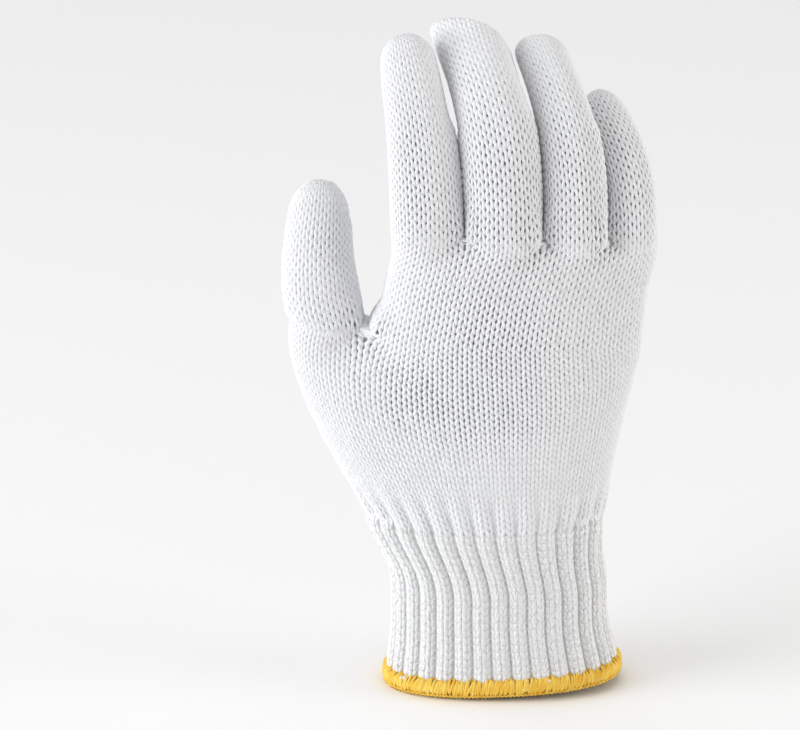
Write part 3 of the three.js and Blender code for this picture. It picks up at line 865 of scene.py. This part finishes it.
@dataclass
class KnitTube:
    """A tube of plain knitting: one node of the part."""

    node: str
    courses: int
    ring_at: Callable[[float], Points] = cuff_ring
    foot: float = 0.0
    top: float = CUFF_TOP
    readings: int = 60
    loop: Loop = Loop()
    finish: Yarn = COTTON
    # The finish of the grey sheet behind the loops, which is painted shade for the holes
    shade_backing: Yarn = SHADE_SHEET
    slot: str = "cotton_knit"
    first_course: int = 0
    pieces: int = 1
    bands: int = 1
    seed: int = 7
    # How deep the painted-shade sheet lies, and its points to a wale
    shade_sheet_depth: float = 0.45
    shade_sheet_points: int = 1
    is_closed: bool = False

    def __post_init__(self) -> None:
        """Read the tube's surface, and seed its stitches' unevenness."""
        self.cloth = Cloth(self.rings(), self.courses)
        self.noise = np.random.default_rng(self.seed)

    def rings(self) -> list[Points]:
        """Give the rings of the tube's outer face, from its foot to its top."""
        return [self.ring_at(float(level)) for level in np.linspace(self.foot, self.top, self.readings)]

    def relief(self, wale: Points, course: Points) -> tuple[Points, Points, Points]:
        """Give the wale where a stitch lies, how deep it sits in millimetres, and which way it faces."""
        return wale, np.zeros_like(wale), np.ones_like(wale)

    def strand(self, courses: Points, skip: int, strands: Strands) -> None:
        """Lay the yarn of some courses.

        Args:
            courses: which courses are laid.
            skip: how many wales one stitch takes, more than one where a tip gathers.
            strands: the mesh the yarn is added to.
        """
        loop, cloth = self.loop, self.cloth
        stitches = cloth.wales // skip
        samples = loop.samples
        turn = np.arange(stitches * samples) * 2.0 * math.pi / samples
        count = len(courses)
        wobble = self.noise.normal(0.0, loop.unevenness, (3, count, stitches))
        wobble = np.stack([self._spread(rows, samples) for rows in wobble])
        wale = skip * (turn / (2.0 * math.pi) + loop.sway * np.sin(2.0 * turn))[None, :] + wobble[0]
        level = courses[:, None] + 0.5
        course = level + (loop.tall + wobble[1]) * np.cos(turn)[None, :]
        lying, sink, facing = self.relief(wale, course)
        place = cloth.look(cloth.grid, lying, course)
        normal = unit(cloth.look(cloth.normals, lying, course))
        width = cloth.look(cloth.pitch, lying, np.broadcast_to(level, lying.shape)) * skip
        scale = np.clip(width / loop.full_wale, loop.least, 1.0)
        tight = tightness(place)
        deep = (loop.deep + wobble[2] * loop.uneven_depth) * scale * (1.0 - loop.tight_depth * (tight - 1.0))
        offset = -facing * deep * np.cos(2.0 * turn)[None, :] - WALL / 2.0 - loop.inset - sink
        radius = loop.yarn * mix(loop.thinnest, 1.0, scale) * tight
        strands.add(place + normal * offset[..., None], normal, radius)

    @staticmethod
    def _spread(rows: Points, samples: int) -> Points:
        """Run a value to each stitch softly from stitch to stitch.

        Args:
            rows: the stitches' values.
            samples: how many points a stitch has.

        Returns:
            A value to each point.
        """
        stitches = rows.shape[1]
        at = np.arange(stitches * samples) / samples
        low = np.floor(at).astype(int)
        share = smooth(at - low, 0.0, 1.0)
        return mix(rows[:, low % stitches], rows[:, (low + 1) % stitches], share)

    def skips(self) -> Points:
        """Give for each course how many wales one stitch takes."""
        return np.ones(self.courses - self.first_course, dtype=int)

    def add_more(self, strands: Strands) -> None:
        """Add the strands that aren't courses."""

    def shade_sheet(self) -> bpy.types.Object:
        """Lay a grey sheet that closes the cloth behind its loops: painted shade seen through the holes
        between them.

        Returns:
            The sheet, as one thin tube inside the knitting.
        """
        cloth, shape = self.cloth, bmesh.new()
        levels = np.arange(self.courses + 1.0)
        wales = np.arange(cloth.wales * self.shade_sheet_points) / self.shade_sheet_points
        rows = []
        for level in levels:
            course = np.full_like(wales, level)
            lying, sink, _ = self.relief(wales, course)
            normal = unit(cloth.look(cloth.normals, lying, course))
            inward = (WALL / 2.0 + self.shade_sheet_depth + sink)[:, None]
            place = cloth.look(cloth.grid, lying, course) - normal * inward
            rows.append([shape.verts.new(point) for point in place * METRES])
        loops = [[shape.edges.new(ends) for ends in zip(row, row[1:] + row[:1])] for row in rows]
        for low, high in zip(loops, loops[1:]):
            bmesh.ops.bridge_loops(shape, edges=low + high)
        if self.is_closed:
            bmesh.ops.edgeloop_fill(shape, edges=loops[-1])
        bmesh.ops.recalc_face_normals(shape, faces=shape.faces)
        for side in shape.faces:
            side.smooth = True
        mesh = bpy.data.meshes.new(self.node + "_shade_sheet")
        shape.to_mesh(mesh)
        shape.free()
        return dressed(mesh, self.shade_backing, self.node)

    def build(self) -> list[bpy.types.Object]:
        """Knit the tube and dress it.

        Returns:
            The tube's pieces.
        """
        courses = np.arange(self.first_course, self.courses)
        skips = self.skips()
        made = []
        for part, chosen in enumerate(np.array_split(np.arange(len(courses)), self.pieces)):
            strands = Strands(self.bands)
            for skip in np.unique(skips[chosen]):
                self.strand(courses[chosen][skips[chosen] == skip], int(skip), strands)
            if part == self.pieces - 1:
                self.add_more(strands)
            name = self.node + "_knit" + (f"_{part + 1}" if self.pieces > 1 else "")
            made.append(dressed(strands.mesh(name), self.finish, self.node))
        # The last piece is the grey sheet of painted shade behind the loops
        return [*made, self.shade_sheet()]


@dataclass
class DigitTube(KnitTube):
    """A finger or the thumb."""

    digit: Digit = INDEX
    first_course: int = -1
    is_closed: bool = True
    beside: tuple[Side, ...] = (Side.LITTLE, Side.THUMB)
    slim: tuple[tuple[float, float], ...] = ((0.0, 0.0),)
    slim_width: float = 3.6
    press: float = 0.9
    press_width: float = 1.8
    press_end: tuple[float, float] = (11.5, 13.5)
    corner_start: tuple[float, float] = (-1.3, 0.0)
    tucked: float = 1.4
    tuck_end: tuple[float, float] = (-1.5, -0.4)
    single_pitch: float = 1.75

    def rings(self) -> list[Points]:
        """Give the digit's rings.

        Returns:
            Their points, closer together on its tip.
        """
        share = self.digit.dome / self.digit.reach
        shaft = np.linspace(0.0, 1.0 - share, SHAFT_RINGS)
        tip = 1.0 - share + share * np.sin(np.linspace(0.0, math.pi / 2.0, TIP_RINGS))[1:]
        return [self.digit.ring(float(at)) for at in np.concatenate([shaft, tip])]

    def skips(self) -> Points:
        """Give for each course how many wales one stitch takes.

        Returns:
            The wales, more of them where the tip gathers.
        """
        middles = np.arange(self.first_course, self.courses) + 0.5
        pitch = self.cloth.pitch[np.clip(middles * COURSE_RINGS, 0, None).astype(int)].mean(axis=1)
        return np.where(pitch > self.single_pitch, 1, 2)

    def relief(self, wale: Points, course: Points) -> tuple[Points, Points, Points]:
        """Tuck the courses below the crotch into the palm, and press neighbouring sides together.

        Args:
            wale: places round the tube.
            course: places along the tube.

        Returns:
            The wale where it lies, how deep it sits in millimetres, and which way it faces.
        """
        wales = self.digit.wales
        edges = np.cumsum([wales.back, wales.little_side, wales.back, wales.thumb_side])
        sides = {Side.LITTLE: (edges[0], edges[1]), Side.THUMB: (edges[2], edges[3])}
        pressed = np.zeros_like(wale + course)
        for side in self.beside:
            start, end = sides[side]
            turn = from_middle(wale, (start + end) / 2.0, wales.all)
            touching = np.exp(-((turn / self.press_width) ** 2)) * (1.0 - smooth(course, *self.press_end))
            pressed += self.press * touching
            pressed += cornered(turn, end - start, course) * smooth(course, *self.corner_start)
            if side is Side.LITTLE:
                at, depth = np.array(self.slim).T
                pressed -= np.interp(course, at, depth) * np.exp(-((turn / self.slim_width) ** 2))
        tuck = self.tucked * (1.0 - smooth(course, *self.tuck_end))
        return wale, tuck - pressed, np.ones_like(wale)


def cornered(turn: Points, side_wales: int, course: Points) -> Points:
    """Give how far the two corners beside a side stand out, by the wales from its middle and the course."""
    corner = np.exp(-(((np.abs(turn) - side_wales / 2.0) / CORNER_WIDTH) ** 2))
    return CORNER_BULGE * corner * (1.0 - smooth(course, 0.0, CORNER_COURSES))


def drawn_in(wale: Points, course: Points, places: tuple[float, ...], top: float) -> Points:
    """Give how deep a tube's last courses are drawn in at the wales that lie between two digits."""
    near = sum(np.exp(-(((wale - place) / CROTCH_WIDTH) ** 2)) for place in places)
    return CROTCH_DEPTH * near * smooth(course - top, *CROTCH_COURSES)


def crotch_line(near: Points, far: Points, drop: float) -> tuple[Points, Points]:
    """Lace two sides together with one closed strand that runs there and back.

    Args:
        near: one side's points, from the back of the hand to its palm.
        far: the other side's points, the same way.
        drop: how far below the sides it lies.

    Returns:
        The strand's points and the direction outwards at each.
    """
    share = np.arange(LACE_POINTS) / LACE_POINTS
    at = 1.0 - np.abs(1.0 - 2.0 * share)
    swing = 0.5 + LACE_SWING * np.sin(2.0 * math.pi * LACE_CROSSINGS * share)
    sides = []
    for side in (near, far):
        run = np.linspace(0.0, 1.0, len(side))
        sides.append(np.stack([np.interp(at, run, side[:, axis]) for axis in range(3)], axis=1))
    line = mix(sides[0], sides[1], swing[:, None])
    line[:, 2] += LACE_BOW * np.sin(2.0 * math.pi * share) - drop
    return line[None], np.broadcast_to(np.array([0.0, 0.0, 1.0]), (1, len(line), 3))


@dataclass
class UpperPalm(KnitTube):
    """The palm above the thumb."""

    crotches: tuple[float, ...] = (8.0, 16.0, 23.0, 39.0, 46.0, 54.0)
    thumb_corners: tuple[float, float] = (62.0, 67.0)
    lace_drop: float = 1.3
    waist: float = 2.8
    waist_width: float = 4.0
    waist_start: tuple[float, float] = (0.5, 4.0)
    waist_end: tuple[float, float] = (9.0, 14.0)

    def relief(self, wale: Points, course: Points) -> tuple[Points, Points, Points]:
        """Draw the last courses in between the fingers, and fill the corners at the thumb.

        Args:
            wale: places round the tube.
            course: places along the tube.

        Returns:
            The wale where it lies, how deep it sits in millimetres, and which way it faces.
        """
        turn = from_middle(wale, sum(self.thumb_corners) / 2.0, HAND_WALES.all)
        waist = self.waist * np.exp(-((turn / self.waist_width) ** 2))
        waist = waist * smooth(course, *self.waist_start) * (1.0 - smooth(course, *self.waist_end))
        sink = drawn_in(wale, course, self.crotches, self.courses) + waist
        return wale, sink - cornered(turn, HAND_WALES.thumb_side, course), np.ones_like(wale)

    def add_more(self, strands: Strands) -> None:
        """Lace the fingers' sides together at their crotches.

        Args:
            strands: the mesh the laces are added to.
        """
        arcs = [digit.root_arcs(FINGER_CROTCH_Z) for digit in FINGERS]
        for near, far in zip(arcs, arcs[1:]):
            line, outward = crotch_line(near["little_side"], far["thumb_side"][::-1], self.lace_drop)
            strands.add(line, outward, np.full(line.shape[:2], self.loop.yarn))


@dataclass
class LowerPalm(KnitTube):
    """The palm below the thumb crotch, into which the cuff's ribs fade."""

    ribs: Ribs = Ribs()
    rib_fade: tuple[float, float] = (-2.0, 7.5)
    crotches: tuple[float, ...] = (8.0, 70.0)
    lace_drops: tuple[float, ...] = (0.3, 1.2, 2.1)
    lace_yarn: float = 1.15

    def relief(self, wale: Points, course: Points) -> tuple[Points, Points, Points]:
        """Carry the ribs a few courses up into the palm.

        Args:
            wale: places round the tube.
            course: places along the tube.

        Returns:
            The wale where it lies, how deep it sits in millimetres, and which way it faces.
        """
        at, below = (np.cumsum([0, wales.back, wales.little_side, wales.back, wales.thumb_side])
                     for wales in (PALM_WALES, CUFF_WALES))
        rib_wale = np.interp(wale % PALM_WALES.all, at, below)
        fade = 1.0 - smooth(course, *self.rib_fade)
        sink = self.ribs.sink(rib_wale) * fade + drawn_in(wale, course, self.crotches, self.courses)
        return wale + self.ribs.shift(rib_wale) * fade, sink, np.ones_like(wale)

    def add_more(self, strands: Strands) -> None:
        """Lace the thumb's side to the hand's at their crotch.

        Args:
            strands: the mesh the laces are added to.
        """
        hand = cut(upper_palm_ring(THUMB_CROTCH_Z), HAND_WALES)["thumb_side"]
        for drop in self.lace_drops:
            line, outward = crotch_line(THUMB.root_arcs(THUMB_CROTCH_Z)["little_side"], hand[::-1], drop)
            strands.add(line, outward, np.full(line.shape[:2], self.loop.yarn * self.lace_yarn))


@dataclass
class RibCuff(KnitTube):
    """The ribbed cuff. Near its top its ribs ease, its purl wales turn to knit, and it is tucked in."""

    ribs: Ribs = Ribs()
    eased: float = 0.14
    easing: tuple[float, float] = (-5.0, 1.0)
    turning: tuple[float, float] = (-8.0, -2.0)
    tucked: float = 0.9
    tucking: tuple[float, float] = (-1.4, -0.2)

    def relief(self, wale: Points, course: Points) -> tuple[Points, Points, Points]:
        """Sink and gather the purl wales, less where the cuff meets the palm.

        Args:
            wale: places round the tube.
            course: places along the tube.

        Returns:
            The wale where it lies, how deep it sits in millimetres, and which way it faces.
        """
        above = course - self.courses
        fade = 1.0 - self.eased * smooth(above, *self.easing)
        facing = mix(self.ribs.facing(wale), Face.KNIT.value, smooth(above, *self.turning))
        sink = self.ribs.sink(wale) * fade + self.tucked * smooth(above, *self.tucking)
        return wale + self.ribs.shift(wale) * fade, sink, facing


@dataclass
class OverlockHem:
    """The overlocked hem: thread wrapped round the cuff's edge, and a chain along its foot.

    Each pair is a mean and how much it varies. The wraps' tops rise and fall by the wave's mean, height,
    step and unevenness.
    """

    node: str = "hem_overlock"
    wraps: int = 290
    wrap_points: int = 20
    spacing: tuple[float, float] = (0.0, 0.12)
    wave: tuple[float, float, float, float] = (-0.2, 0.45, 1.6, 0.9)
    foot: tuple[float, float] = (0.0, 0.3)
    swell: tuple[float, float] = (0.0, 0.08)
    lean: tuple[float, float] = (0.25, 0.14)
    thread: float = 0.48
    thickness: tuple[float, float] = (0.0, 0.06)
    proud: float = 1.3
    squareness: float = 0.75
    chain_points: int = 8
    crossing: float = 1.25
    chain_height: float = 0.1
    chain_rise: float = 0.35
    chain_wobble: tuple[float, float] = (0.0, 0.1)
    flecks: int = 16
    fleck_size: tuple[float, float] = (0.14, 0.4)
    fleck_yarn: float = 0.34
    fleck_proud: float = 0.35
    fleck_heights: tuple[float, float] = (1.2, HEM_HEIGHT - 1.0)
    seed: int = 11
    below: float = 2.0
    courses: int = 12

    def __post_init__(self) -> None:
        """Read the cuff's foot as cloth, a course to each millimetre, and seed the unevenness."""
        rings = [cuff_ring(float(level) - self.below) for level in range(self.courses + 1)]
        self.cloth = Cloth(rings, self.courses)
        self.noise = np.random.default_rng(self.seed)

    def lay(self, wale: Points, up: Points) -> tuple[Points, Points]:
        """Give places on the cuff's outer face.

        Args:
            wale: places round it.
            up: heights.

        Returns:
            The points, and the level direction outwards at each.
        """
        place = self.cloth.look(self.cloth.grid, wale, up + self.below)
        normal = self.cloth.look(self.cloth.normals, wale, up + self.below)
        return place, unit(normal * np.array([1.0, 1.0, 0.0]))

    def wrap_lines(self) -> tuple[Points, Points]:
        """Lay the wraps, each a closed loop over the edge.

        Returns:
            The wraps' points and the direction outwards at each.
        """
        noise, wraps = self.noise, self.wraps
        turn = np.arange(self.wrap_points) * 2.0 * math.pi / self.wrap_points
        cosine, sine = np.cos(turn), np.sin(turn)
        wale = (np.arange(wraps) + noise.normal(*self.spacing, wraps)) * self.cloth.wales / wraps
        mean, height, step, drift = self.wave
        rise = mean + height * np.sin(np.arange(wraps) * step + np.cumsum(noise.normal(0.0, drift, wraps)))
        foot = noise.normal(*self.foot, wraps)
        across, along = (np.sign(value) * np.abs(value) ** self.squareness for value in (cosine, sine))
        centre = HEM_HEIGHT / 2.0
        half = centre - self.thread
        up = centre + along[None, :] * half
        up = up + np.where(sine > 0.0, rise[:, None], foot[:, None]) * np.abs(sine)[None, :]
        thick = WALL / 2.0 + self.proud - self.thread
        out = -WALL / 2.0 + across[None, :] * thick + noise.normal(*self.swell, (wraps, 1))
        lean = noise.normal(*self.lean, (wraps, 1)) * (up - centre) / half * np.sign(cosine)
        place, normal = self.lay(wale[:, None] + lean, up)
        outward = normal * cosine[None, :, None] + np.array([0.0, 0.0, 1.0]) * sine[None, :, None]
        return place + normal * out[..., None], outward

    def chain_lines(self) -> tuple[Points, Points]:
        """Lay two strands that cross along the foot of the hem.

        Returns:
            The strands' points and the direction outwards at each.
        """
        stitches = self.wraps // 2
        turn = np.arange(stitches * self.chain_points) * 2.0 * math.pi / self.chain_points
        wale = turn / (2.0 * math.pi) * self.cloth.wales / stitches
        lines = []
        for sign in (1.0, -1.0):
            wobble = self.noise.normal(*self.chain_wobble, len(turn))
            out = -WALL / 2.0 + sign * self.crossing * np.sin(turn) + wobble
            swing = self.chain_rise * np.cos(2.0 * turn) * sign
            place, normal = self.lay(wale, self.chain_height - swing + wobble)
            lines.append(place + normal * out[:, None])
        return np.stack(lines), np.broadcast_to(np.array([0.0, 0.0, -1.0]), (2, len(turn), 3))

    def fleck_lines(self) -> tuple[Points, Points]:
        """Lay small rings of white cotton where the cuff's yarn shows through the wraps.

        Returns:
            The rings' points and the direction outwards at each.
        """
        turn = np.arange(self.chain_points) * 2.0 * math.pi / self.chain_points
        wide, tall = self.fleck_size
        wale = self.noise.uniform(0.0, self.cloth.wales, (self.flecks, 1)) + wide * np.cos(turn)[None, :]
        up = self.noise.uniform(*self.fleck_heights, (self.flecks, 1)) + tall * np.sin(turn)[None, :]
        place, normal = self.lay(wale, up)
        return place + normal * (-WALL / 2.0 + self.proud + self.fleck_proud), normal

    def build(self) -> list[bpy.types.Object]:
        """Wrap the hem and dress it.

        Returns:
            The thread and the flecks.
        """
        thread, flecks = Strands(1), Strands(1)
        for line, outward in (self.wrap_lines(), self.chain_lines()):
            uneven = 1.0 + self.noise.normal(*self.thickness, (len(line), 1))
            thread.add(line, outward, self.thread * uneven * np.ones(line.shape[:2]))
        line, outward = self.fleck_lines()
        flecks.add(line, outward, np.full(line.shape[:2], self.fleck_yarn))
        return [dressed(thread.mesh("hem_wraps"), GOLDEN, self.node),
                dressed(flecks.mesh("hem_flecks"), COTTON, self.node)]


def dressed(mesh: bpy.types.Mesh, finish: Yarn, node: str) -> bpy.types.Object:
    """Make a piece of a mesh, with its finish, its body and the node that it stands for.

    Args:
        mesh: the piece's mesh.
        finish: its finish.
        node: the node that it replaces.

    Returns:
        The piece.
    """
    piece = bpy.data.objects.new(mesh.name, mesh)
    bpy.context.scene.collection.objects.link(piece)
    mesh.materials.append(finish.material())
    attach(piece, "root")
    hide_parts(node)
    LOG.info("%s stands for %s: %d faces", piece.name, node, len(mesh.polygons))
    return piece


@dataclass
class Studio:
    """A pale floor, soft lights and the camera."""

    look_at: tuple[float, float, float] = (-0.036, 0.0, 0.1149)
    elevation: float = 20.0
    distance: float = 5.0
    frame_width: float = 0.28
    floor_z: float = -0.0022
    floor_size: float = 30.0
    floor_white: float = 0.97
    sensor: float = 36.0
    world_light: float = 0.55
    lamps_at: tuple[float, float, float] = (0.0, 0.0, 0.11)

    def floor(self) -> None:
        """Lay the floor."""
        shape = bmesh.new()
        bmesh.ops.create_grid(shape, x_segments=1, y_segments=1, size=self.floor_size)
        bmesh.ops.translate(shape, verts=shape.verts, vec=(0.0, 0.0, self.floor_z))
        mesh = bpy.data.meshes.new("floor")
        shape.to_mesh(mesh)
        shape.free()
        floor = bpy.data.objects.new("floor", mesh)
        material = bpy.data.materials.new("pale floor")
        material.use_nodes = True
        shader = material.node_tree.nodes["Principled BSDF"]
        shader.inputs["Base Color"].default_value = (*[self.floor_white] * 3, 1.0)
        shader.inputs["Roughness"].default_value = 0.9
        floor.data.materials.append(material)
        bpy.context.scene.collection.objects.link(floor)

    def lamp(self, name: str, place: tuple[float, float, float], size: float, power: float,
             colour: tuple[float, float, float]) -> None:
        """Hang a soft square lamp that faces the glove.

        Args:
            name: its name.
            place: where it hangs.
            size: the length of its side.
            power: its power in watts.
            colour: its light's colour.
        """
        light = bpy.data.lights.new(name, "AREA")
        light.size = size
        light.energy = power
        light.color = colour
        lamp = bpy.data.objects.new(name, light)
        lamp.location = place
        lamp.rotation_euler = (Vector(self.lamps_at) - Vector(place)).to_track_quat("-Z", "Y").to_euler()
        bpy.context.scene.collection.objects.link(lamp)

    def build(self) -> None:
        """Set the floor, the lights and the camera."""
        self.floor()
        world = bpy.data.worlds.new("studio")
        world.use_nodes = True
        backdrop = world.node_tree.nodes["Background"]
        backdrop.inputs["Color"].default_value = (1.0, 1.0, 1.0, 1.0)
        backdrop.inputs["Strength"].default_value = self.world_light
        bpy.context.scene.world = world
        bpy.context.scene.view_settings.view_transform = "Standard"
        self.lamp("key", (-1.85, -0.75, 0.55), 1.5, 34.0, (0.975, 0.988, 1.0))
        self.lamp("side", (1.7, -0.4, 0.35), 1.0, 13.0, (1.0, 0.95, 0.88))
        self.lamp("top", (0.0, 0.4, 2.2), 1.2, 9.0, (1.0, 1.0, 1.0))
        lens = bpy.data.cameras.new("camera")
        lens.sensor_width = self.sensor
        lens.lens = self.sensor * self.distance / self.frame_width
        lens.clip_end = 100.0
        camera = bpy.data.objects.new("camera", lens)
        tilt = math.radians(self.elevation)
        target = Vector(self.look_at)
        camera.location = target + self.distance * Vector((0.0, -math.cos(tilt), math.sin(tilt)))
        camera.rotation_euler = (math.radians(90.0) - tilt, 0.0, 0.0)
        bpy.context.scene.collection.objects.link(camera)
        bpy.context.scene.camera = camera


def main() -> None:
    """Knit the glove, set the studio, and report each piece."""
    logging.basicConfig(level=logging.INFO, format="%(name)s: %(message)s")
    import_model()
    Studio().build()
    sections = [
        OverlockHem(),
        # The cuff's yarn is painted lighter for the brighter light it gets, and its sheet of painted shade is
        # a lighter grey
        RibCuff("rib_cuff", 22, cuff_ring, CUFF_FOOT, CUFF_TOP, finish=RIB_COTTON_PAINTED_LIGHTER, shade_backing=RIB_SHADE_SHEET,
                slot="rib_knit", bands=2, shade_sheet_depth=0.3, shade_sheet_points=2,
                loop=Loop(sway=0.2, deep=0.24, yarn=0.76)),
        LowerPalm("lower_palm", 28, lower_palm_ring, CUFF_TOP, THUMB_CROTCH_Z, 80, first_course=-1,
                  pieces=2, bands=2, seed=8),
        UpperPalm("upper_palm", 14, upper_palm_ring, THUMB_CROTCH_Z, FINGER_CROTCH_Z, bands=2, seed=9),
        DigitTube("index_finger", 26, digit=INDEX, seed=21, beside=(Side.LITTLE,),
                  slim=((9.0, 0.0), (10.5, 0.25), (12.5, 0.75), (15.0, 0.8), (18.0, 0.6), (20.0, 0.1),
                        (21.5, -0.4), (25.0, 0.0))),
        DigitTube("middle_finger", 30, digit=MIDDLE, seed=22,
                  slim=((12.5, 0.0), (15.0, 1.0), (17.5, 1.6), (20.5, 1.5), (22.5, 2.0), (24.5, 3.0),
                        (26.0, 3.1), (28.0, 2.2), (30.0, 0.6))),
        DigitTube("ring_finger", 27, digit=RING, seed=23),
        DigitTube("little_finger", 20, digit=LITTLE, seed=24, beside=(Side.THUMB,)),
        DigitTube("thumb", 19, digit=THUMB, seed=25, beside=(Side.LITTLE,)),
    ]
    for section in sections:
        LOG.info("%s: %d pieces", section.node, len(section.build()))


if __name__ == "__main__":
    main()
